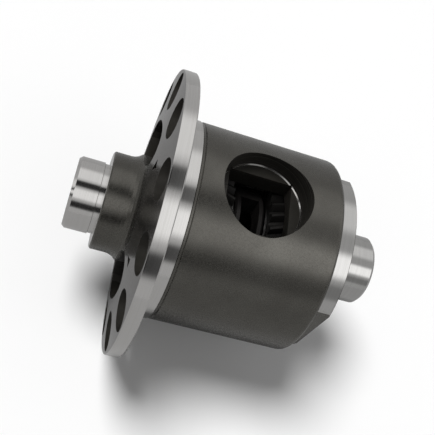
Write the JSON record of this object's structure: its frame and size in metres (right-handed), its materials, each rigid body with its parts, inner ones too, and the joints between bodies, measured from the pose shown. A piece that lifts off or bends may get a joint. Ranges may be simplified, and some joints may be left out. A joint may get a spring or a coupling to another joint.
{
  "type": "differential carrier assembly",
  "caption": "Flanged differential case with a round access window and two bearing journals, holding splined side gears geared together by parallel-axis pinions.",
  "frame": {"origin": "on the rotation axis, in the plane of the ring gear seat, which is the rear face of the flange", "axes": "+X along the rotation axis from the flange-side journal to the end-cap journal; +Z out through the middle of the access window; +Y completes the right-handed frame"},
  "size_m": [0.1972, 0.1814, 0.1815],
  "materials": {
    "case_iron": "dark phosphated casting with ground and turned bright bands",
    "cap_iron": "dark phosphated casting with a turned rim and ground journal",
    "screw_steel": "black oxide",
    "dowel_steel": "ground",
    "side_gear_steel": "cut and heat treated, oiled",
    "pinion_steel": "cut and heat treated, oiled",
    "bearing_bronze": "satin",
    "spring_steel": "satin",
    "block_steel": "dark machined",
    "bolt_steel": "black oxide"
  },
  "bodies": {
    "carrier": {"case": "case_iron", "end_cap": "cap_iron", "cap_screws": "screw_steel", "cap_dowels": "dowel_steel", "left_thrust_washer": "bearing_bronze", "right_thrust_washer": "bearing_bronze", "left_preload_spring": "spring_steel", "right_preload_spring": "spring_steel", "thrust_block": "block_steel", "thrust_block_bolt": "bolt_steel", "left_pinion_shims": "bearing_bronze", "right_pinion_shims": "bearing_bronze"},
    "left_side_gear": {"left_side_gear": "side_gear_steel"},
    "right_side_gear": {"right_side_gear": "side_gear_steel"},
    "left_pinion_1": {"left_pinion_1": "pinion_steel"},
    "left_pinion_2": {"left_pinion_2": "pinion_steel"},
    "left_pinion_3": {"left_pinion_3": "pinion_steel"},
    "right_pinion_1": {"right_pinion_1": "pinion_steel"},
    "right_pinion_2": {"right_pinion_2": "pinion_steel"},
    "right_pinion_3": {"right_pinion_3": "pinion_steel"}
  },
  "joints": [
    {"name": "left_side_gear_spin", "type": "hinge", "parent": "carrier", "child": "left_side_gear", "pos_m": [0.029, 0, 0], "axis": [1, 0, 0], "continuous": true},
    {"name": "right_side_gear_spin", "type": "hinge", "parent": "carrier", "child": "right_side_gear", "pos_m": [0.077, 0, 0], "axis": [1, 0, 0], "continuous": true},
    {"name": "left_pinion_1_spin", "type": "hinge", "parent": "carrier", "child": "left_pinion_1", "pos_m": [0.0408, -0.03291, 0.02951], "axis": [1, 0, 0], "continuous": true},
    {"name": "right_pinion_1_spin", "type": "hinge", "parent": "carrier", "child": "right_pinion_1", "pos_m": [0.0654, -0.04201, 0.01375], "axis": [1, 0, 0], "continuous": true},
    {"name": "left_pinion_2_spin", "type": "hinge", "parent": "carrier", "child": "left_pinion_2", "pos_m": [0.0408, -0.0091, -0.04325], "axis": [1, 0, 0], "continuous": true},
    {"name": "right_pinion_2_spin", "type": "hinge", "parent": "carrier", "child": "right_pinion_2", "pos_m": [0.0654, 0.0091, -0.04325], "axis": [1, 0, 0], "continuous": true},
    {"name": "left_pinion_3_spin", "type": "hinge", "parent": "carrier", "child": "left_pinion_3", "pos_m": [0.0408, 0.04201, 0.01375], "axis": [1, 0, 0], "continuous": true},
    {"name": "right_pinion_3_spin", "type": "hinge", "parent": "carrier", "child": "right_pinion_3", "pos_m": [0.0654, 0.03291, 0.02951], "axis": [1, 0, 0], "continuous": true}
  ],
  "couplings": [
    {"joint": "right_side_gear_spin", "follows": "left_side_gear_spin", "ratio": -1},
    {"joint": "left_pinion_1_spin", "follows": "left_side_gear_spin", "ratio": -3.8571},
    {"joint": "right_pinion_1_spin", "follows": "left_side_gear_spin", "ratio": 3.8571},
    {"joint": "left_pinion_2_spin", "follows": "left_side_gear_spin", "ratio": -3.8571},
    {"joint": "right_pinion_2_spin", "follows": "left_side_gear_spin", "ratio": 3.8571},
    {"joint": "left_pinion_3_spin", "follows": "left_side_gear_spin", "ratio": -3.8571},
    {"joint": "right_pinion_3_spin", "follows": "left_side_gear_spin", "ratio": 3.8571}
  ]
}
